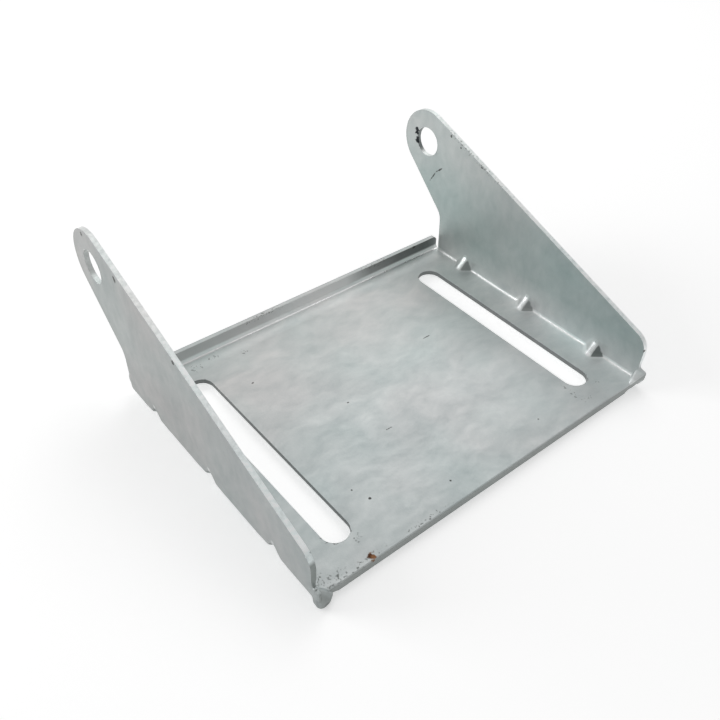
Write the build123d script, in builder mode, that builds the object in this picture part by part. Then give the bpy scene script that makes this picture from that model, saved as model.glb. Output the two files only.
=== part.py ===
"""Roller bracket: one folded, hot-dip galvanised steel stamping.

A flat plate carries two long adjusting slots.  Its front edge is turned down, its
back edge is turned up into a lip, and an ear stands up from each side with a hole
for the roller's shaft.  Three gussets are pressed across each ear's fold.

Frame: millimetres, +X to the right, +Y to the back, +Z up.  The origin is on the
plate's underside, midway between the two slots.
"""

import os
from math import hypot, sqrt

from build123d import *

# Sheet and folds
sheet = 2.7                 # metal thickness
bend_radius = 2.4           # lip's fold, inside; every fold is rounder outside by the sheet
relief_gap = 1.0            # slit between each ear's fold and the lip's fold

# Slots
slot_width = 14.3
slot_length = 127.0
slot_setback = 15.9         # front edge to the slots' front ends
slot_margin = 16.4          # slots' back ends to the lip
slot_inset = 25.35          # ear's inner face to the slot's centre line

# Plate
inner_width = 212.7         # clear width between the two ears
lip_height = 7.7            # lip above the plate's top
lip_inset = 1.5             # lip's end, in from the ear's outer face
lip_corner = 3.0            # radius of the lip's two upper corners
rim_drop = 1.7              # turned-down front edge, below the underside
rim_inset = 0.6             # front edge's end, in from the ear's outer face
rim_corner = 3.2            # radius of the front edge's two lower corners
rim_round = 0.9             # where the plate's top rolls over into the front edge

# Ears
shaft_hole_radius = 8.7
shaft_height = 70.0         # underside to the shaft's axis
shaft_overhang = 14.6       # lip's inner face to the shaft's axis
ear_end_radius = 19.1       # round end about the shaft hole
ear_setback = 1.9           # front edge to the ear's front edge
shoulder_height = 27.0      # where the ear's front edge meets its sloping edge
knee_height = 27.6          # where the ear's back edge turns out under the shaft
knee_lean = 1.3             # how far the back edge leans back up to the knee
ear_corner = 10.0           # radius of the shoulder and of the knee

# Toes: each fold's metal, bunched forward at its end of the front edge
toe_reach = 2.7             # forward of the front edge
toe_height = 9.2            # above the underside
toe_round = 2.4             # upper corner
toe_heel = 4.5              # lower corner
toe_neck = 1.5              # hollow corner between the toe and the ear's front edge
drop_width = 6.0            # zinc drop frozen on the left toe
drop_reach = 3.5            # forward of the front edge
drop_length = 6.5           # front to back
drop_top = 4.2              # above the underside
drop_sag = 2.1              # below the underside
drop_round = 2.4

# Gussets pressed across the ears' folds
gusset_count = 3
gusset_setback = 29.6       # front edge to the first gusset's middle
gusset_margin = 27.6        # last gusset's middle to the lip
gusset_leg = 6.8            # reach along the plate, and up the ear
gusset_ridge = 3.6          # width of the ridge
gusset_foot = 14.0          # width in the corner of the fold
gusset_round = 1.5          # along both sides of the ridge

# Worked out from the sizes above
outer_width = inner_width + 2 * sheet
ear_face = inner_width / 2                      # X of the right ear's inner face
flat_half = ear_face - bend_radius              # X where the plate starts to curve up
slot_spacing = inner_width - 2 * slot_inset
front = -(slot_setback + slot_length / 2)       # Y of the front edge
lip_face = slot_length / 2 + slot_margin        # Y of the lip's inner face
flat_back = lip_face - bend_radius              # Y where the plate starts to curve up
ear_back = flat_back - relief_gap               # Y of the ears' back edge, at the plate
shaft = (lip_face + shaft_overhang, shaft_height)           # Y and Z
shoulder = (front + ear_setback, shoulder_height)
knee = (ear_back + knee_lean, knee_height)
toe_front = front - toe_reach
ear_end = shaft[0] + ear_end_radius
ear_top = shaft_height + ear_end_radius
gusset_pitch = (lip_face - front - gusset_setback - gusset_margin) / (gusset_count - 1)
gusset_rows = [front + gusset_setback + gusset_pitch * row for row in range(gusset_count)]
gusset_rise = gusset_leg / sqrt(2)              # fold's corner to the ridge, squarely
gusset_slope = (gusset_foot - gusset_ridge) / 2 / gusset_rise


def gusset_profile(row, inset, depth, corner):
    """A gusset's section, square to its ridge; inset gives the dent behind it."""
    rise = gusset_rise - inset
    ridge = gusset_ridge / 2 + gusset_slope * inset - hypot(1, gusset_slope) * inset
    low = ridge + gusset_slope * (rise + depth)
    with BuildSketch(Plane(origin=(ear_face, row, sheet), x_dir=(0, 1, 0), z_dir=(1, 0, 1))) as profile:
        with BuildLine():
            Polyline((-low, -depth), (-ridge, rise), (ridge, rise), (low, -depth), close=True)
        make_face()
        fillet(profile.vertices().group_by(Axis.Y)[-1], corner)
    return profile.sketch


# The gussets' ribs, inside the folds
with BuildPart() as ribs:
    for row in gusset_rows:
        extrude(gusset_profile(row, 0, 0, gusset_round), amount=gusset_leg, both=True)
    with Locations((ear_face + sheet / 2, 0, sheet / 2)):
        Box(2 * gusset_leg, lip_face - front, 2 * gusset_leg,
            align=(Align.MAX, Align.CENTER, Align.MIN), mode=Mode.INTERSECT)
    mirror(about=Plane.YZ)

# The dents behind them, outside the folds
with BuildPart() as dents:
    for row in gusset_rows:
        extrude(gusset_profile(row, sheet, 2 * sheet, gusset_round / 2), amount=2 * gusset_leg, both=True)
    mirror(about=Plane.YZ)

# The zinc drop on the left toe
with BuildPart() as drop:
    with Locations((-outer_width / 2, front - drop_reach, -drop_sag)):
        Box(drop_width, drop_length, drop_sag + drop_top, align=Align.MIN)
    fillet(drop.edges(), drop_round)

with BuildPart() as bracket:
    # The ears and their folds: a channel seen from the front
    with BuildSketch(Plane.XZ.offset(-ear_end)) as channel:
        Rectangle(outer_width, ear_top, align=(Align.CENTER, Align.MIN))
        fillet(channel.vertices().group_by(Axis.Y)[0], bend_radius + sheet)
        with Locations((0, sheet)):
            Rectangle(inner_width, ear_top, align=(Align.CENTER, Align.MIN), mode=Mode.SUBTRACT)
        Rectangle(2 * flat_half, 2 * sheet, mode=Mode.SUBTRACT)
    extrude(amount=ear_end - toe_front)

    # The ears' outline seen from the side, with the toe at the foot of the front edge
    with BuildSketch(Plane.YZ) as outline:
        with BuildLine():
            Polyline((shoulder[0], 0), shoulder, knee, (ear_back, 0), close=True)
        make_face()
        with BuildLine(mode=Mode.PRIVATE) as arm:
            Line(shoulder, knee)
            CenterArc(shaft, ear_end_radius, 0, 360)
        make_hull(arm.edges())
        fillet(outline.vertices().sort_by_distance(shoulder)[0], ear_corner)
        fillet(outline.vertices().sort_by_distance(knee)[0], ear_corner)
        with Locations(shaft):
            Circle(shaft_hole_radius, mode=Mode.SUBTRACT)
        with Locations((toe_front, 0)):
            Rectangle(toe_reach + ear_setback + sheet, toe_height, align=Align.MIN)
        fillet(outline.vertices().sort_by_distance((toe_front, toe_height))[0], toe_round)
        fillet(outline.vertices().sort_by_distance((toe_front, 0))[0], toe_heel)
        fillet(outline.vertices().sort_by_distance((shoulder[0], toe_height))[0], toe_neck)
    extrude(amount=outer_width / 2, both=True, mode=Mode.INTERSECT)

    # The flat of the plate
    with BuildSketch():
        with Locations((0, front + sheet / 2)):
            Rectangle(2 * flat_half, flat_back - front - sheet / 2, align=(Align.CENTER, Align.MIN))
    extrude(amount=sheet)

    # The front edge, turned down
    with BuildSketch(Plane.YZ) as rim:
        with Locations((front, -rim_drop)):
            Rectangle(sheet, rim_drop + sheet, align=Align.MIN)
        fillet(rim.vertices().sort_by_distance((front, sheet))[0], rim_round)
    extrude(amount=outer_width / 2 - rim_inset, both=True)
    rim_ends = bracket.edges().filter_by(Axis.Y).group_by(Axis.Z)[0]
    fillet(rim_ends, rim_corner)

    # The back edge, turned up into the lip
    with BuildSketch(Plane.YZ) as lip:
        with Locations((flat_back, 0)):
            Rectangle(bend_radius + sheet, sheet + lip_height, align=Align.MIN)
        fillet(lip.vertices().sort_by_distance((lip_face + sheet, 0))[0], bend_radius + sheet)
        with Locations((lip_face, sheet)):
            Rectangle(bend_radius, lip_height, align=(Align.MAX, Align.MIN), mode=Mode.SUBTRACT)
        fillet(lip.vertices().sort_by_distance((lip_face, sheet))[0], bend_radius)
    extrude(amount=outer_width / 2 - lip_inset, both=True)
    lip_edges = bracket.edges().filter_by(Axis.Y).filter_by_position(Axis.Y, lip_face, lip_face + sheet)
    fillet(lip_edges.group_by(Axis.Z)[-1], lip_corner)

    # The gussets, the zinc drop and the slots
    add(ribs.part)
    add(dents.part, mode=Mode.SUBTRACT)
    add(drop.part)
    with BuildSketch():
        with GridLocations(slot_spacing, 0, 2, 1):
            SlotOverall(slot_length, slot_width, rotation=90)
    extrude(amount=sheet, mode=Mode.SUBTRACT)

bracket.part.label = "bracket"
os.makedirs("parts", exist_ok=True)
export_step(bracket.part, "parts/bracket.step")
print("bracket", bracket.part.volume, bracket.part.bounding_box())
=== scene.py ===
# %% [markdown]
# Galvanised roller bracket
#
# The real object is one steel sheet.  It is cut, pressed and folded in a press, then
# dipped in molten zinc.  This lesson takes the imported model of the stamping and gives
# it what the zinc bath gives the real one: rounded edges, softened gussets, a cloudy
# skin, frozen drops at the front corners, and the small marks of handling.
# Everything is in metres, in the model's own frame.

# %% Load the frame
import math

import bmesh
import bpy
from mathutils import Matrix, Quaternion, Vector, noise


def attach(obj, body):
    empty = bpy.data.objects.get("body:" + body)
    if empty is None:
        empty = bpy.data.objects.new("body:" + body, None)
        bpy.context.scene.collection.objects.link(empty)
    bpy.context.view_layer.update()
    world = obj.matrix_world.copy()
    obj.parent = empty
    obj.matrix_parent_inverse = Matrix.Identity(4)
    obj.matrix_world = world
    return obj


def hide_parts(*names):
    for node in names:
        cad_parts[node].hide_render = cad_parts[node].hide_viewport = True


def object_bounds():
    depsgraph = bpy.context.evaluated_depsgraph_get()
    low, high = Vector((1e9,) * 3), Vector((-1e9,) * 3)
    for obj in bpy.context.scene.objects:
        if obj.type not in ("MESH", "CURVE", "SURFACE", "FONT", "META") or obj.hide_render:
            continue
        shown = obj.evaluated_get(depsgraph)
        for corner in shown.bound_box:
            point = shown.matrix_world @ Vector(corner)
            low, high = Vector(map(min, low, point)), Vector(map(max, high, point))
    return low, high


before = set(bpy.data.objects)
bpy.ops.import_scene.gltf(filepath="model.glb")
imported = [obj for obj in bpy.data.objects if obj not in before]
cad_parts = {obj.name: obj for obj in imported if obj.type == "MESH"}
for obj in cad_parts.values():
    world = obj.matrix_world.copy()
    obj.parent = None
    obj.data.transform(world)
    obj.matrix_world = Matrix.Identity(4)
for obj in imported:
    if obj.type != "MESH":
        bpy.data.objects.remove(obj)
cad_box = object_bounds()
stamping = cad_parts["bracket"]
print("stamping", len(stamping.data.polygons), "triangles")

# %% [markdown]
# The camera stands in front and to the left, above the ears, and looks down on the
# plate.  It is placed by the point it looks at, two angles, a little roll and a
# distance, because those are easier to read and to change than a matrix.

# %% Camera
looks_at = Vector((-0.00137, 0.02362, 0.0027))
azimuth = math.radians(-40.39)
elevation = math.radians(41.62)
roll = math.radians(1.90)
distance = 0.4399

towards_camera = Vector((
    math.sin(azimuth) * math.cos(elevation),
    -math.cos(azimuth) * math.cos(elevation),
    math.sin(elevation),
))
camera_data = bpy.data.cameras.new("camera")
camera_data.lens = 40.54
camera_data.clip_end = 50.0
camera = bpy.data.objects.new("camera", camera_data)
camera.location = looks_at + towards_camera * distance
camera.rotation_mode = "QUATERNION"
camera.rotation_quaternion = (-towards_camera).to_track_quat("-Z", "Y") @ Quaternion((0, 0, 1), roll)
bpy.context.scene.collection.objects.link(camera)
bpy.context.scene.camera = camera
print("camera at", tuple(round(value, 4) for value in camera.location))

# %% [markdown]
# Node trees are easier to read when each node is one line.  `add_node` makes a node,
# sets its properties, and fills or links its inputs by name or number.  `maths`, `span`
# and `blend` do the same for the three kinds that are used most.


# %% Helpers for node trees
def add_node(tree, kind, inputs=None, **properties):
    made = tree.nodes.new(kind)
    for name, value in properties.items():
        setattr(made, name, value)
    for name, value in (inputs or {}).items():
        if isinstance(value, bpy.types.NodeSocket):
            tree.links.new(value, made.inputs[name])
        else:
            made.inputs[name].default_value = value
    return made


def maths(tree, operation, first, second=0.0, clamp=False):
    made = add_node(tree, "ShaderNodeMath", {0: first, 1: second}, operation=operation, use_clamp=clamp)
    return made.outputs[0]


def span(tree, value, low, high, to_low=0.0, to_high=1.0):
    made = add_node(
        tree,
        "ShaderNodeMapRange",
        {"Value": value, "From Min": low, "From Max": high, "To Min": to_low, "To Max": to_high},
    )
    return made.outputs["Result"]


def blend(tree, factor, first, second, mode="MIX"):
    made = add_node(
        tree,
        "ShaderNodeMix",
        {"Factor": factor, "A": first, "B": second},
        data_type="RGBA",
        blend_type=mode,
    )
    return made.outputs["Result"]


print("helpers add_node, maths, span and blend are ready")

# %% [markdown]
# The stage is a sheet of white paper that runs on past the edges of the picture.  It
# lies where the bracket's lowest points touch it.  A little light of its own, seen
# only by the camera and in reflections, lifts the paper to a clean white and still
# leaves it the bracket's soft shadow.  The paper under the plate gets the least light,
# so it is lifted a little more, to keep the slots as white as the page.

# %% Paper
paper_white = 0.86
paper_lift = 0.38
lift_under_slots = 0.16
paper_half_width = 6.0

sheet_of_paper = bmesh.new()
bmesh.ops.create_grid(sheet_of_paper, x_segments=1, y_segments=1, size=paper_half_width)
bmesh.ops.translate(sheet_of_paper, verts=sheet_of_paper.verts, vec=(0, 0, cad_box[0].z))
paper_mesh = bpy.data.meshes.new("paper")
sheet_of_paper.to_mesh(paper_mesh)
sheet_of_paper.free()
paper = bpy.data.objects.new("paper", paper_mesh)
bpy.context.scene.collection.objects.link(paper)

paper_finish = bpy.data.materials.new("paper")
paper_finish.use_nodes = True
tree = paper_finish.node_tree
shader = tree.nodes["Principled BSDF"]
shader.inputs["Base Color"].default_value = (paper_white, paper_white, paper_white, 1)
shader.inputs["Roughness"].default_value = 1.0
shader.inputs["Specular IOR Level"].default_value = 0.0
shader.inputs["Emission Color"].default_value = (1, 1, 1, 1)
ray = add_node(tree, "ShaderNodeLightPath")
seen = maths(tree, "MAXIMUM", ray.outputs["Is Camera Ray"], ray.outputs["Is Glossy Ray"])
where = add_node(tree, "ShaderNodeTexCoord")
position = add_node(tree, "ShaderNodeSeparateXYZ", {"Vector": where.outputs["Object"]})
sideways = maths(tree, "ABSOLUTE", position.outputs["X"])
lengthways = maths(tree, "ABSOLUTE", position.outputs["Y"])
under_plate = maths(
    tree,
    "MULTIPLY",
    span(tree, sideways, 0.102, 0.092, 0.0, lift_under_slots),
    span(tree, lengthways, 0.076, 0.066),
)
lift = maths(tree, "ADD", under_plate, paper_lift)
tree.links.new(maths(tree, "MULTIPLY", seen, lift), shader.inputs["Emission Strength"])
paper_mesh.materials.append(paper_finish)
print("paper at", round(cad_box[0].z * 1000, 2), "mm")

# %% [markdown]
# Matt zinc shows broad, soft reflections, so the light is broad too: an even grey
# room, a softbox low behind on the left that brings out the folds, and a weaker one
# high behind on the right.  A low view can see past the paper, and there the camera
# is shown a white room.

# %% Light
softbox_size = 0.7
room_strength = 0.52


def softbox(name, power, place):
    data = bpy.data.lights.new(name, "AREA")
    data.shape = "SQUARE"
    data.size = softbox_size
    data.energy = power
    made = bpy.data.objects.new(name, data)
    made.location = place
    made.rotation_mode = "QUATERNION"
    made.rotation_quaternion = (-Vector(place)).to_track_quat("-Z", "Y")
    bpy.context.scene.collection.objects.link(made)


softbox("softbox_left", 5.2, (-0.852, 0.852, 0.487))
softbox("softbox_right", 2.3, (0.566, 0.566, 1.024))

room = bpy.data.worlds.new("room")
room.use_nodes = True
room_light = room.node_tree.nodes["Background"]
room_light.inputs["Color"].default_value = (1, 1, 1, 1)
ray = add_node(room.node_tree, "ShaderNodeLightPath")
brightness = span(room.node_tree, ray.outputs["Is Camera Ray"], 0.0, 1.0, room_strength, 1.0)
room.node_tree.links.new(brightness, room_light.inputs["Strength"])
bpy.context.scene.world = room
print("two softboxes in a room of strength", room_strength)

# %% [markdown]
# The stamping is right in every size, but its edges are as sharp as a drawing.  A
# zinc bath leaves no sharp edge, so the dressed piece is a copy of the stamping,
# changed step by step.  First its doubled corners are merged, and the flat faces that
# were cut into triangles are joined again.  Eight boxes are set round the six gussets
# and the two front corners, because those are softened later in another way.

# %% Copy the stamping and mark its soft places
same_point = 0.00012
flat_angle = math.radians(0.4)
sheet = bmesh.new()
sheet.from_mesh(stamping.data)
bmesh.ops.remove_doubles(sheet, verts=sheet.verts, dist=same_point)
bmesh.ops.dissolve_limit(sheet, angle_limit=flat_angle, verts=sheet.verts, edges=sheet.edges)

gusset_rows = (-0.0498, 0.00125, 0.0523)
gusset_across = 0.1035
gusset_above = 0.0055
gusset_half_size = (0.0070, 0.0090, 0.0063)
corner_middle = Vector((0.1045, -0.0785, 0.0045))
corner_half_size = (0.0062, 0.0050, 0.0070)
soft_zones = []
for side in (-1, 1):
    for row in gusset_rows:
        soft_zones.append((Vector((side * gusset_across, row, gusset_above)), gusset_half_size))
    soft_zones.append((corner_middle * Vector((side, 1, 1)), corner_half_size))


def in_zone(place, zone, room=0.0):
    centre, half_size = zone
    gaps = [abs(place[axis] - centre[axis]) - half_size[axis] for axis in range(3)]
    return max(gaps) < room


def is_soft(place, room=0.0):
    return any(in_zone(place, zone, room) for zone in soft_zones)


print("copied", len(sheet.faces), "faces, with", len(soft_zones), "soft places")

# %% [markdown]
# Inside each ear's fold the zinc fills the corner to a small hollow round, and on the
# cut edges it makes a small outward one.  A bevel does both.  It is better here in a
# bmesh than as a modifier, because it can be kept to chosen edges, and the gussets
# stay as they are.

# %% Round the folds' corners and the cut edges
ear_inside = 0.10635
plate_top = 0.0027
on_corner = 0.00002
fold_fill = 0.0010
cut_round = 0.00035
cut_angle = math.radians(50)
clear_of_zone = 0.001


def is_fold_corner(edge):
    for vert in edge.verts:
        if abs(abs(vert.co.x) - ear_inside) > on_corner or abs(vert.co.z - plate_top) > on_corner:
            return False
    return not edge.is_convex


def is_cut_edge(edge):
    if not edge.is_manifold or not edge.is_convex:
        return False
    middle = (edge.verts[0].co + edge.verts[1].co) / 2
    return edge.calc_face_angle() > cut_angle and not is_soft(middle, clear_of_zone)


def round_edges(edges, size, segments):
    bmesh.ops.bevel(
        sheet,
        geom=edges,
        offset=size,
        segments=segments,
        profile=0.5,
        affect="EDGES",
        clamp_overlap=True,
        material=-1,
    )


fold_corners = [edge for edge in sheet.edges if is_fold_corner(edge)]
round_edges(fold_corners, fold_fill, 4)
print("filled", len(fold_corners), "inside corners")

cut_edges = [edge for edge in sheet.edges if is_cut_edge(edge)]
round_edges(cut_edges, cut_round, 3)
print("rounded", len(cut_edges), "edges;", len(sheet.faces), "faces")

# %% [markdown]
# The surface has to be divided before it can be pressed or made uneven.  Slicing it
# with evenly spaced planes keeps every face flat and every edge where it is.  Planes
# that would run along inside a fold are left out, because they leave slivers beside
# the fold's own faces, and slivers shade as specks.  The slices are closer together at
# the gussets and the front corners, which are softened next.

# %% Slice the copy into small faces
slice_pitch = 0.0036
fine_pitch = 0.0007
round_a_zone = 0.002
on_plane = 1e-6
fold_spans = ((0.0, 0.0), (0.0772, 0.0828), (0.0026, 0.0053))


def slice_faces(faces, axis, places):
    normal = Vector([1.0 if number == axis else 0.0 for number in range(3)])
    edges = {edge for face in faces for edge in face.edges}
    points = {vert for face in faces for vert in face.verts}
    part = [*faces, *edges, *points]
    for place in places:
        cut = bmesh.ops.bisect_plane(
            sheet, geom=part, dist=on_plane, plane_co=normal * place, plane_no=normal
        )
        part = cut["geom"]


def steps(low, high, pitch):
    count = math.ceil((high - low) / pitch)
    return [low + (high - low) * (number + 0.5) / count for number in range(count)]


def in_a_fold(axis, place):
    low, high = fold_spans[axis]
    return low < place < high


low_corner, high_corner = cad_box
for axis in range(3):
    places = steps(low_corner[axis], high_corner[axis], slice_pitch)
    slice_faces(sheet.faces[:], axis, [place for place in places if not in_a_fold(axis, place)])
print("sliced into", len(sheet.faces), "faces")

for zone in soft_zones:
    centre, half_size = zone
    for axis in range(3):
        near = [face for face in sheet.faces if in_zone(face.calc_center_median(), zone, round_a_zone)]
        low = centre[axis] - half_size[axis]
        high = centre[axis] + half_size[axis]
        slice_faces(near, axis, steps(low, high, fine_pitch))
print("with fine slices", len(sheet.faces), "faces")

# %% [markdown]
# A gusset is pressed by a blunt punch and then filled a little by the zinc, so its
# ridge and its valleys run into the fold.  The front corners are bunched metal under
# frozen zinc, and just as round.  Smoothing only the points in these eight zones gives
# that, and the rest of the sheet stays put.  Points that crowd together are merged
# first, because crowded points hold each other back.

# %% Soften the gussets and the front corners
smoothing_rounds = 14
crowded = 0.00028
bmesh.ops.remove_doubles(sheet, verts=[vert for vert in sheet.verts if is_soft(vert.co)], dist=crowded)
soft_points = [vert for vert in sheet.verts if is_soft(vert.co)]
for number in range(smoothing_rounds):
    bmesh.ops.smooth_vert(
        sheet,
        verts=soft_points,
        factor=0.5,
        use_axis_x=True,
        use_axis_y=True,
        use_axis_z=True,
    )
print("softened", len(soft_points), "points")

# %% [markdown]
# Zinc runs and freezes unevenly.  Each point moves in along its own normal by a
# smooth noise.  It only moves inwards, so the piece keeps the stamping's outside
# sizes.  Faces with many corners are split into triangles here, so that every program
# splits them alike.  A Weighted Normal modifier then lets the large flat faces decide
# how the light turns at a bevel, which keeps the flats free of dark wedges.

# %% Uneven zinc
wave_length = 0.022
wave_depth = 0.00012
sharp_angle = math.radians(52)

sheet.normal_update()
moves = {}
for vert in sheet.verts:
    wave = 0.5 + 0.5 * noise.noise(vert.co / wave_length)
    moves[vert] = -vert.normal * wave * wave_depth
for vert, move in moves.items():
    vert.co += move

for edge in sheet.edges:
    edge.smooth = edge.calc_face_angle(0.0) < sharp_angle
for face in sheet.faces:
    face.smooth = True
dressed_mesh = bpy.data.meshes.new("galvanised_sheet")
bmesh.ops.triangulate(sheet, faces=[face for face in sheet.faces if len(face.verts) > 4])
sheet.to_mesh(dressed_mesh)
sheet.free()
dressed = bpy.data.objects.new("galvanised_sheet", dressed_mesh)
bpy.context.scene.collection.objects.link(dressed)
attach(dressed, "root")
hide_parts("bracket")
flats = dressed.modifiers.new("flats", "WEIGHTED_NORMAL")
flats.keep_sharp = True
print("dressed sheet", len(dressed_mesh.polygons), "faces")

# %% [markdown]
# As the bracket is drawn from the bath by one ear, the zinc runs to the lowest corner
# and freezes there in a drop.  A smaller bead fills the other front corner.  A drop
# of this kind is the skin over a few balls of different sizes, so only the balls'
# points are kept and a convex hull is drawn round them.  A Remesh modifier then gives
# the skin even little faces, and a Smooth modifier rounds it as liquid metal would.

# %% Frozen zinc at the front corners
skin_pitch = 0.0003
skin_smoothing = 9


def frozen_zinc(name, balls):
    drop = bmesh.new()
    for place, radius in balls:
        made = bmesh.ops.create_icosphere(drop, subdivisions=3, radius=radius)
        bmesh.ops.translate(drop, verts=made["verts"], vec=place)
    bmesh.ops.delete(drop, geom=[*drop.edges, *drop.faces], context="EDGES_FACES")
    bmesh.ops.convex_hull(drop, input=drop.verts[:])
    inside = [vert for vert in drop.verts if not vert.link_faces]
    bmesh.ops.delete(drop, geom=inside, context="VERTS")
    bmesh.ops.recalc_face_normals(drop, faces=drop.faces)
    mesh = bpy.data.meshes.new(name)
    drop.to_mesh(mesh)
    drop.free()
    made = bpy.data.objects.new(name, mesh)
    bpy.context.scene.collection.objects.link(made)
    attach(made, "root")
    even = made.modifiers.new("even", "REMESH")
    even.mode = "VOXEL"
    even.voxel_size = skin_pitch
    even.use_smooth_shade = True
    round_off = made.modifiers.new("round_off", "SMOOTH")
    round_off.factor = 0.5
    round_off.iterations = skin_smoothing
    print(name, len(mesh.polygons), "faces before the modifiers")
    return made


zinc_drop = frozen_zinc(
    "zinc_drop",
    (
        ((-0.1079, -0.0784, 0.0088), 0.0011),
        ((-0.1073, -0.0799, 0.0050), 0.0017),
        ((-0.1060, -0.0805, 0.0016), 0.0024),
        ((-0.1066, -0.0805, 0.0004), 0.0024),
        ((-0.1056, -0.0807, 0.0001), 0.0022),
        ((-0.1040, -0.0805, 0.0006), 0.0022),
        ((-0.1012, -0.0796, 0.0006), 0.0013),
        ((-0.1022, -0.0780, 0.0016), 0.0011),
    ),
)
zinc_bead = frozen_zinc(
    "zinc_bead",
    (
        ((0.1077, -0.0808, 0.0076), 0.0012),
        ((0.1077, -0.0808, 0.0052), 0.0012),
        ((0.1076, -0.0770, 0.0080), 0.0010),
        ((0.1010, -0.0782, 0.0017), 0.0010),
        ((0.1030, -0.0766, 0.0017), 0.0009),
        ((0.1015, -0.0785, -0.0003), 0.0010),
    ),
)

# %% [markdown]
# Hot-dip zinc is a matt grey with soft clouds in it, bluish in one place and warm in
# the next, over a finer mottle and a faint grain.  The clouds are one node group with
# their strength as an input, so the zinc's own tree stays short, and the clouds can be
# made stronger or weaker in one place.

# %% Node group: zinc clouds
clouds = bpy.data.node_groups.new("zinc_clouds", "ShaderNodeTree")
clouds.interface.new_socket("Vector", in_out="INPUT", socket_type="NodeSocketVector")
clouds.interface.new_socket("Contrast", in_out="INPUT", socket_type="NodeSocketFloat").default_value = 1.0
for name, kind in (("Color", "Color"), ("Roughness", "Float"), ("Height", "Float")):
    clouds.interface.new_socket(name, in_out="OUTPUT", socket_type="NodeSocket" + kind)
given = add_node(clouds, "NodeGroupInput")

warp = add_node(
    clouds, "ShaderNodeTexNoise", {"Vector": given.outputs["Vector"], "Scale": 32.0, "Detail": 2.0}
)
offset = add_node(
    clouds, "ShaderNodeVectorMath", {0: warp.outputs["Color"], 1: (0.5, 0.5, 0.5)}, operation="SUBTRACT"
)
pushed = add_node(
    clouds,
    "ShaderNodeVectorMath",
    {0: offset.outputs[0], 1: (0.016, 0.016, 0.016), 2: given.outputs["Vector"]},
    operation="MULTIPLY_ADD",
)
drawn = add_node(
    clouds,
    "ShaderNodeMapping",
    {"Vector": pushed.outputs[0], "Rotation": (0.3, 0.2, 0.9), "Scale": (1.0, 2.1, 1.4)},
)
broad = add_node(
    clouds,
    "ShaderNodeTexNoise",
    {"Vector": drawn.outputs[0], "Scale": 24.0, "Detail": 4.0, "Roughness": 0.55},
)
mottle = add_node(
    clouds,
    "ShaderNodeTexNoise",
    {"Vector": drawn.outputs[0], "Scale": 95.0, "Detail": 5.0, "Roughness": 0.6},
)
tint = add_node(
    clouds, "ShaderNodeTexNoise", {"Vector": pushed.outputs[0], "Scale": 17.0, "Detail": 2.0}
)
grain = add_node(
    clouds, "ShaderNodeTexNoise", {"Vector": given.outputs["Vector"], "Scale": 900.0, "Detail": 3.0}
)

broad_swing = span(clouds, broad.outputs["Fac"], 0.3, 0.7, -0.6, 0.6)
mottle_swing = span(clouds, mottle.outputs["Fac"], 0.3, 0.7, -0.45, 0.45)
grain_swing = span(clouds, grain.outputs["Fac"], 0.3, 0.7, -0.12, 0.12)
swing = maths(clouds, "ADD", maths(clouds, "ADD", broad_swing, mottle_swing), grain_swing)
swing = maths(clouds, "MULTIPLY", swing, given.outputs["Contrast"])
light = maths(clouds, "MULTIPLY_ADD", swing, 0.5)
light.node.inputs[2].default_value = 0.5
skin = add_node(clouds, "ShaderNodeValToRGB", {"Fac": light})
skin.color_ramp.elements[0].color = (0.515, 0.565, 0.565, 1)
skin.color_ramp.elements[1].color = (0.690, 0.715, 0.708, 1)
warm = span(clouds, tint.outputs["Fac"], 0.35, 0.65)
tinted = blend(clouds, warm, (0.965, 1.0, 1.0, 1), (1.03, 1.0, 1.005, 1))
colour = blend(clouds, 1.0, skin.outputs["Color"], tinted, "MULTIPLY")
rough = span(clouds, light, 0.0, 1.0, 0.56, 0.44)
height = maths(clouds, "ADD", maths(clouds, "MULTIPLY", mottle.outputs["Fac"], 0.7), grain_swing)
add_node(clouds, "NodeGroupOutput", {"Color": colour, "Roughness": rough, "Height": height})
print("zinc clouds", len(clouds.nodes), "nodes")

# %% [markdown]
# Marks of handling are small and each has its own place: a rust chip, a bare contact
# mark, nicks and scratches.  A group that masks one ragged oval does for all of them:
# each one adds its own oval to the marks so far, so they can be strung in a row.

# %% Node group: one ragged mark
mark = bpy.data.node_groups.new("ragged_mark", "ShaderNodeTree")
for name, kind in (
    ("Marks So Far", "Float"),
    ("Vector", "Vector"),
    ("Chips", "Float"),
    ("Centre", "Vector"),
    ("Turn", "Vector"),
    ("Half Size", "Vector"),
    ("Ragged", "Float"),
):
    mark.interface.new_socket(name, in_out="INPUT", socket_type="NodeSocket" + kind)
mark.interface.new_socket("Mask", in_out="OUTPUT", socket_type="NodeSocketFloat")
given = add_node(mark, "NodeGroupInput")
local = add_node(
    mark,
    "ShaderNodeMapping",
    {
        "Vector": given.outputs["Vector"],
        "Location": given.outputs["Centre"],
        "Rotation": given.outputs["Turn"],
        "Scale": given.outputs["Half Size"],
    },
    vector_type="TEXTURE",
)
away = add_node(mark, "ShaderNodeVectorMath", {0: local.outputs[0]}, operation="LENGTH")
raggedness = maths(mark, "MULTIPLY", given.outputs["Chips"], given.outputs["Ragged"])
edge_of_mark = maths(mark, "ADD", away.outputs["Value"], raggedness)
this_mark = span(mark, edge_of_mark, 1.0, 0.6)
marks_with_this = maths(mark, "MAXIMUM", this_mark, given.outputs["Marks So Far"])
add_node(mark, "NodeGroupOutput", {"Mask": marks_with_this})
print("mark group", len(mark.nodes), "nodes")

# %% [markdown]
# Where the marks are, in millimetres: the centre, the half size along X, Y and Z, how
# ragged the outline is, and a turn.  Single marks are nicks and dots of bare steel.
# In the rough places the zinc is pitted, so they show a scatter of dark specks.

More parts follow.
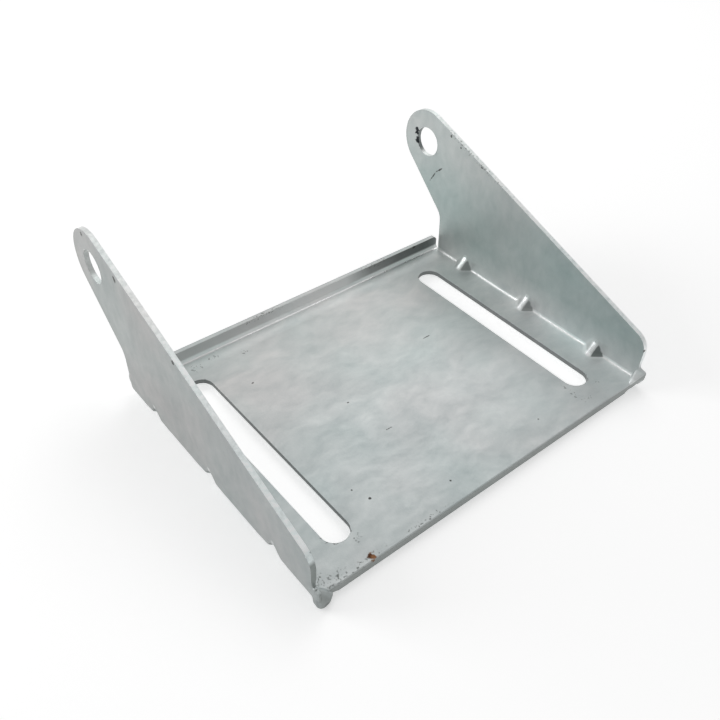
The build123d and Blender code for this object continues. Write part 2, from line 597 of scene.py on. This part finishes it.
# %% Places of the marks
single_marks = (
    ((-57.5, -52.6, 2.7), (0.8, 0.8, 1.0), 0.3),
    ((-61.2, -43.8, 2.7), (0.6, 0.6, 1.0), 0.3),
    ((-21.3, -67.7, 2.7), (0.6, 0.6, 1.0), 0.3),
    ((41.8, -66.1, 2.7), (0.6, 0.6, 1.0), 0.3),
    ((-26.9, 2.0, 2.7), (0.7, 0.5, 1.0), 0.3),
    ((-22.4, -24.7, 2.7), (1.8, 0.45, 1.0), 0.5),
    ((40.4, 16.1, 2.7), (2.6, 0.35, 1.0), 0.4),
    ((-57.3, 43.8, 2.7), (0.9, 0.7, 1.0), 0.5),
    ((88.0, 79.6, 9.8), (1.2, 1.2, 1.0), 0.5),
    ((106.6, 75.6, 81.3), (1.2, 1.6, 0.7), 0.6),
    ((106.6, 66.8, 77.3), (1.2, 0.8, 0.6), 0.5),
    ((106.6, 49.0, 72.3), (1.2, 1.0, 0.7), 0.5),
    ((107.0, -77.4, 21.5), (1.2, 0.8, 1.1), 0.3),
    ((-109.0, 99.5, 85.7), (1.2, 1.8, 1.4), 0.5),
    ((-108.6, 77.0, 86.0), (1.4, 1.0, 1.4), 0.5),
    ((-109.0, 69.6, 76.8), (1.2, 1.6, 2.2), 0.4),
    ((-109.0, 20.8, 61.6), (1.2, 1.4, 1.2), 0.5),
    ((-107.4, -76.0, 39.5), (0.9, 0.9, 1.1), 0.3),
    ((106.3, 87.1, 50.3), (1.0, 4.6, 0.45), 0.35, (-1.04, 0.0, 0.0)),
    ((106.3, 82.2, 56.6), (1.0, 4.0, 0.65), 0.35, (-0.74, 0.0, 0.0)),
    ((-104.9, -54.0, 3.6), (1.0, 1.1, 1.1), 0.4),
)
rough_places = (
    ((-97.0, -76.6, 2.7), (9.0, 4.2, 1.5), 0.5),
    ((-102.0, -73.5, 3.0), (4.0, 6.0, 3.0), 0.5),
    ((-80.0, -77.6, 2.7), (12.0, 2.0, 1.5), 0.5),
    ((-44.0, -77.4, 2.7), (12.0, 1.3, 1.5), 0.5),
    ((-75.3, -65.9, 2.7), (3.0, 2.2, 1.0), 0.5),
    ((-74.7, 71.9, 2.7), (4.2, 3.0, 1.0), 0.5),
    ((-63.2, 73.6, 2.7), (3.6, 2.0, 1.0), 0.5),
    ((-47.5, 67.3, 2.7), (3.4, 2.6, 1.0), 0.5),
    ((70.5, -64.0, 2.7), (1.6, 7.0, 1.0), 0.4),
    ((74.0, -72.0, 2.7), (4.0, 1.4, 1.0), 0.4),
    ((87.2, -66.6, 2.7), (3.0, 1.4, 1.0), 0.4),
    ((-25.0, 79.6, 10.0), (13.0, 3.4, 2.0), 0.5),
    ((58.0, 79.6, 9.6), (14.0, 3.0, 2.0), 0.5),
    ((106.6, 60.0, 77.0), (1.6, 34.0, 1.3), 0.6, (0.353, 0.0, 0.0)),
)
print(len(single_marks), "single marks,", len(rough_places), "rough places")

# %% [markdown]
# The zinc itself is one material.  It is part metal, part white oxide, so Metallic is
# under one: broad reflections come from the metal and the pale grey from the oxide.
# It starts with the clouds, at three quarters of their full strength.

# %% Zinc: the material and its clouds
zinc = bpy.data.materials.new("hot_dip_zinc")
zinc.use_nodes = True
tree = zinc.node_tree
shader = tree.nodes["Principled BSDF"]
where = add_node(tree, "ShaderNodeTexCoord")
cloud = add_node(tree, "ShaderNodeGroup", {}, node_tree=clouds)
tree.links.new(where.outputs["Object"], cloud.inputs["Vector"])
cloud.inputs["Contrast"].default_value = 0.75
print("zinc material with", len(tree.nodes), "nodes so far")

# %% [markdown]
# Everything that follows is told by two things: where a point lies on the bracket and
# which way the surface faces there.  Both come from the Texture Coordinate node and
# stay with the object.  Three noises are shared too: ash for streaks and rust, specks
# for pits, and chips for ragged outlines.

# %% Zinc: place, direction and noises
position = add_node(tree, "ShaderNodeSeparateXYZ", {"Vector": where.outputs["Object"]})
facing = add_node(tree, "ShaderNodeSeparateXYZ", {"Vector": where.outputs["Normal"]})
along, across, above = (position.outputs[name] for name in "YXZ")
from_middle = maths(tree, "ABSOLUTE", across)
faces_front = span(tree, facing.outputs["Y"], -0.35, -0.7)
faces_left = span(tree, facing.outputs["X"], -0.5, -0.8)
faces_side = maths(tree, "ABSOLUTE", facing.outputs["X"])
faces_up_or_down = maths(tree, "ABSOLUTE", facing.outputs["Z"])
down_and_front = add_node(
    tree,
    "ShaderNodeVectorMath",
    {0: where.outputs["Normal"], 1: (0.25, -0.90, -0.35)},
    operation="DOT_PRODUCT",
)


def zinc_noise(scale, detail):
    made = add_node(
        tree,
        "ShaderNodeTexNoise",
        {"Vector": where.outputs["Object"], "Scale": scale, "Detail": detail},
    )
    return made.outputs["Fac"]


ash = zinc_noise(480.0, 4.0)
specks = zinc_noise(800.0, 2.0)
chips = span(tree, zinc_noise(620.0, 3.0), 0.3, 0.7, -1.0, 1.0)
print("place, direction and noises:", len(tree.nodes), "nodes so far")

# %% [markdown]
# Masks tell the places of the folds and gussets.  Zinc gathers smooth in the folds and on
# the gussets' ridges.  A highlight is painted in the folds and on the ridges, and shade is
# painted on the gussets' fronts.  A mask is a number from 0 to 1, and `both` multiplies
# masks, so that the zinc is changed only where all of them agree.  A span runs from nothing
# at its first number to full at its second, unless two more numbers give it other ends.
# Places are in metres.

# %% Zinc: masks of the folds and gussets
gusset_half_pitch = (gusset_rows[2] - gusset_rows[0]) / 4


def both(masks):
    joined = masks[0]
    for other in masks[1:]:
        joined = maths(tree, "MULTIPLY", joined, other)
    return joined


def near_line(first, first_place, second, second_place, radius):
    first_gap = maths(tree, "SUBTRACT", first, first_place)
    second_gap = maths(tree, "SUBTRACT", second, second_place)
    gap = add_node(tree, "ShaderNodeCombineXYZ", {"X": first_gap, "Y": second_gap})
    away = add_node(tree, "ShaderNodeVectorMath", {0: gap.outputs[0]}, operation="LENGTH")
    return span(tree, away.outputs["Value"], radius, radius * 0.4)


# Masks of the painted highlight lines in the ears' folds and in the lip's fold.
ear_fold = both([
    near_line(from_middle, 0.10609, above, 0.00296, 0.0009),
    span(tree, along, -0.0766, -0.0755),
])
lip_fold = near_line(along, 0.07805, above, 0.00278, 0.0010)
to_gusset = maths(
    tree, "PINGPONG", maths(tree, "ADD", along, -gusset_rows[0]), gusset_half_pitch
)
on_gusset = both([
    span(tree, to_gusset, 0.0076, 0.0070),
    span(tree, from_middle, 0.0972, 0.0980),
    span(tree, above, 0.0030, 0.0034),
    span(tree, above, 0.0112, 0.0104),
])
# Mask of the painted shade on the gussets' fronts.
gusset_front_painted_shade = both([
    on_gusset,
    span(tree, facing.outputs["Y"], -0.30, -0.50),
    span(tree, along, -0.040, 0.0, 0.86, 0.62),
])
# Mask of the painted highlight on the gussets' ridges, which are also smoother.
gusset_ridge = both([on_gusset, span(tree, to_gusset, 0.0014, 0.0005)])
print("masks of the folds and gussets:", len(tree.nodes), "nodes so far")

# %% [markdown]
# The ears' cut edges carry streaks of zinc, and a highlight is painted on them.  Shade is
# painted on the edges that face forward: the left ear's front edge, the turned-down
# strip, and the drop at the strip's left end.  A highlight is painted on the left ear's
# shoulder, and darker shade still is painted on the slots' walls.

# %% Zinc: masks of the edges
# Where the cut edges are; their painted highlight is laid on in the tones below.
cut_edge = both([
    span(tree, from_middle, 0.1058, 0.1063),
    span(tree, faces_side, 0.85, 0.55),
    span(tree, above, 0.010, 0.013),
])
# Mask of the painted shade on the slots' walls.
slot_wall_painted_shade = both([
    span(tree, from_middle, 0.0930, 0.0915),
    span(tree, above, 0.0027, 0.0025),
    span(tree, faces_up_or_down, 0.7, 0.5),
    span(tree, along, -0.0780, -0.0760),
    span(tree, along, 0.0760, 0.0740),
])
# Mask of the painted shade on the left ear's front edge.
left_front_edge_painted_shade = both([
    span(tree, across, -0.1054, -0.1060),
    span(tree, along, -0.0758, -0.0768),
    span(tree, facing.outputs["Y"], -0.45, -0.75),
    span(tree, above, 0.007, 0.010),
])
# Mask of the painted highlight on the left ear's shoulder.
left_shoulder_painted_highlight = both([
    span(tree, across, -0.1054, -0.1060),
    span(tree, along, -0.058, -0.070),
    span(tree, facing.outputs["Y"], -0.70, -0.45),
    span(tree, faces_side, 0.85, 0.55),
    span(tree, above, 0.020, 0.024),
])
# Mask of the painted shade on the turned-down front strip.
front_strip_painted_shade = both([
    span(tree, along, -0.0783, -0.0790),
    span(tree, down_and_front.outputs["Value"], 0.35, 0.62),
])
# Mask of the painted shade on the drop's front.
drop_front_painted_shade = both([
    span(tree, across, -0.0995, -0.1010),
    span(tree, along, -0.0795, -0.0805),
    span(tree, down_and_front.outputs["Value"], 0.80, 0.96),
])
print("masks of the edges:", len(tree.nodes), "nodes so far")

# %% [markdown]
# Light and shade are painted into the broad faces.  The plate is painted paler beside the
# lip and the right ear, where their shade falls, and it is a little darker towards its
# front.  Shade is painted on the outside of the left ear and the inside of the right ear,
# so that they are darker than the plate.  A tone makes the clouds lighter or darker by
# the place, and three tints follow.

# %% Zinc: tones of the broad faces
on_plate = span(tree, above, 0.0050, 0.0040)
by_lip_painted_light = both([on_plate, span(tree, along, 0.068, 0.079)])
by_right_ear_painted_light = both([on_plate, span(tree, across, 0.082, 0.102), span(tree, along, 0.050, -0.030)])
by_front = both([on_plate, span(tree, along, 0.0, -0.075)])
left_outside_painted_shade = both([span(tree, across, -0.1068, -0.1080), faces_left])
right_inside_painted_shade = both([span(tree, across, 0.1040, 0.1060), faces_left, span(tree, above, 0.006, 0.022)])
right_low_painted_shade = both([right_inside_painted_shade, span(tree, above, 0.072, 0.040)])
at_back = span(tree, along, -0.030, 0.050)

# The tone holds painted shade on the left ear's outside, painted light beside the lip and the right ear,
# and painted highlights on the cut edges, the gussets' ridges and the left shoulder; by_front is a little
# darker.
tone = 1.0
for mask, change in (
    (left_outside_painted_shade, -0.32),
    (by_lip_painted_light, 0.55),
    (by_right_ear_painted_light, 0.42),
    (by_front, -0.10),
    (cut_edge, span(tree, ash, 0.35, 0.65, 0.38, 0.66)),
    (gusset_ridge, 0.25),
    (left_shoulder_painted_highlight, 0.35),
):
    tone = maths(tree, "ADD", tone, maths(tree, "MULTIPLY", mask, change))
toned = add_node(
    tree, "ShaderNodeVectorMath", {0: cloud.outputs["Color"], "Scale": tone}, operation="SCALE"
)
colour = toned.outputs[0]
# at_back is a warm tint of the zinc; the other two tints are painted shade on the right ear's inside,
# darker and greener low down.
for mask, tint in (
    (at_back, (1.0, 0.975, 0.965, 1)),
    (right_inside_painted_shade, (0.80, 0.82, 0.82, 1)),
    (right_low_painted_shade, (0.86, 0.94, 0.93, 1)),
):
    colour = blend(tree, mask, colour, tint, "MULTIPLY")
print("tones:", len(tree.nodes), "nodes so far")

# %% [markdown]
# Painted light and shade of single places are laid over the clouds, each with its own
# cover.  The lip's face needs a ramp, because the light and shade painted on it run from
# grey at its left end through pale to nearly black at its right.  `either` joins masks of
# places that are treated alike.


# %% Zinc: colours of single places
def either(masks):
    joined = masks[0]
    for other in masks[1:]:
        joined = maths(tree, "MAXIMUM", joined, other)
    return joined


lip_face = both([span(tree, along, 0.0785, 0.0792), faces_front, span(tree, above, 0.0038, 0.0050)])
lip_painted_light_and_shade = add_node(tree, "ShaderNodeValToRGB", {"Fac": span(tree, across, -0.105, 0.105)})
lip_painted_light_and_shade.color_ramp.elements[0].color = (0.60, 0.62, 0.61, 1)
lip_painted_light_and_shade.color_ramp.elements[1].color = (0.13, 0.15, 0.15, 1)
for place, grey in ((0.35, 0.76), (0.5, 0.98), (0.66, 0.98), (0.75, 0.40), (0.86, 0.20)):
    stop = lip_painted_light_and_shade.color_ramp.elements.new(place)
    stop.color = (grey, grey, grey, 1)

# Painted light and shade: the lip's face, painted highlights in the folds, and painted shade on the front
# strip, the left ear's front edge, the gussets' fronts, the drop's front and the slots' walls.
for mask, cover, paint in (
    (lip_face, 0.85, lip_painted_light_and_shade.outputs["Color"]),
    (either([ear_fold, lip_fold]), 1.0, (0.98, 0.99, 0.985, 1)),
    (front_strip_painted_shade, 0.75, (0.26, 0.28, 0.27, 1)),
    (left_front_edge_painted_shade, 0.85, (0.17, 0.19, 0.18, 1)),
    (gusset_front_painted_shade, 1.0, (0.105, 0.13, 0.125, 1)),
    (drop_front_painted_shade, 0.6, (0.12, 0.13, 0.12, 1)),
    (slot_wall_painted_shade, 0.8, (0.10, 0.11, 0.11, 1)),
):
    colour = blend(tree, maths(tree, "MULTIPLY", mask, cover), colour, paint)
print("colours:", len(tree.nodes), "nodes so far")

# %% [markdown]
# The marks come last, over all the rest: nicks and pits of bare dark steel, a nearly
# black contact mark beside the right shaft hole, and one chip of rust on the front
# edge, brown where it is thick and orange where it is thin.  `place_marks` strings a
# row of mark groups together and gives back the mask of them all.


# %% Zinc: marks
def place_marks(places):
    so_far = None
    for centre, half_size, ragged, *turn in places:
        made = add_node(tree, "ShaderNodeGroup", {}, node_tree=mark)
        if so_far:
            tree.links.new(so_far, made.inputs["Marks So Far"])
        tree.links.new(where.outputs["Object"], made.inputs["Vector"])
        tree.links.new(chips, made.inputs["Chips"])
        made.inputs["Centre"].default_value = [value / 1000 for value in centre]
        made.inputs["Half Size"].default_value = [value / 1000 for value in half_size]
        made.inputs["Turn"].default_value = turn[0] if turn else (0.0, 0.0, 0.0)
        made.inputs["Ragged"].default_value = ragged
        so_far = made.outputs["Mask"]
    return so_far


nicks = place_marks(single_marks)
pits = both([place_marks(rough_places), span(tree, specks, 0.55, 0.64)])
contact = place_marks((
    ((106.3, 103.9, 73.6), (1.4, 2.1, 2.6), 0.45),
    ((106.3, 102.8, 67.9), (1.4, 2.0, 2.6), 0.45),
))
rust = place_marks((((-76.7, -77.3, 2.5), (2.3, 2.3, 1.8), 0.45),))
rust_shade = add_node(tree, "ShaderNodeValToRGB", {"Fac": ash})
thick_rust, thin_rust = rust_shade.color_ramp.elements
thick_rust.position = 0.4
thick_rust.color = (0.16, 0.07, 0.035, 1)
thin_rust.position = 0.6
thin_rust.color = (0.42, 0.21, 0.10, 1)

for mask, cover, paint in (
    (nicks, 0.85, (0.09, 0.09, 0.085, 1)),
    (pits, 0.55, (0.18, 0.19, 0.18, 1)),
    (contact, 1.0, (0.025, 0.030, 0.035, 1)),
    (rust, 1.0, rust_shade.outputs["Color"]),
):
    colour = blend(tree, maths(tree, "MULTIPLY", mask, cover), colour, paint)
tree.links.new(colour, shader.inputs["Base Color"])
marks = either([nicks, pits, contact, rust])
print("marks:", len(tree.nodes), "nodes so far")

# %% [markdown]
# Marks are rougher than the zinc, and the folds and ridges are smoother.  The lip's fold,
# where a highlight is painted, is made all metal too.  The bump is slight: it carries the
# mottle, the grain, and streaks of zinc on the cut edges.  The sheet, the drops and the
# plain stamping all get this one material.

# %% Zinc: gloss, metal and relief
least_roughness = 0.2
plain_metal = 0.7
smooth_zinc = either([maths(tree, "MULTIPLY", ear_fold, 0.5), lip_fold, gusset_ridge])
roughness = maths(tree, "ADD", cloud.outputs["Roughness"], maths(tree, "MULTIPLY", marks, 0.3))
roughness = maths(tree, "SUBTRACT", roughness, maths(tree, "MULTIPLY", smooth_zinc, 0.22))
tree.links.new(maths(tree, "MAXIMUM", roughness, least_roughness, True), shader.inputs["Roughness"])
metallic = maths(tree, "ADD", plain_metal, maths(tree, "MULTIPLY", lip_fold, 1.0 - plain_metal))
tree.links.new(metallic, shader.inputs["Metallic"])
edge_runs = maths(tree, "MULTIPLY", cut_edge, ash)
height = maths(tree, "ADD", cloud.outputs["Height"], maths(tree, "MULTIPLY", edge_runs, 1.2))
bump = add_node(tree, "ShaderNodeBump", {"Height": height, "Strength": 0.6, "Distance": 0.0001})
tree.links.new(bump.outputs["Normal"], shader.inputs["Normal"])
for piece in (dressed, zinc_drop, zinc_bead):
    piece.data.materials.append(zinc)
stamping.data.materials.clear()
stamping.data.materials.append(zinc)
print("zinc", len(tree.nodes), "nodes")

# %% [markdown]
# Last, the view is set to plain Standard colours.

# %% View colours
bpy.context.scene.view_settings.view_transform = "Standard"
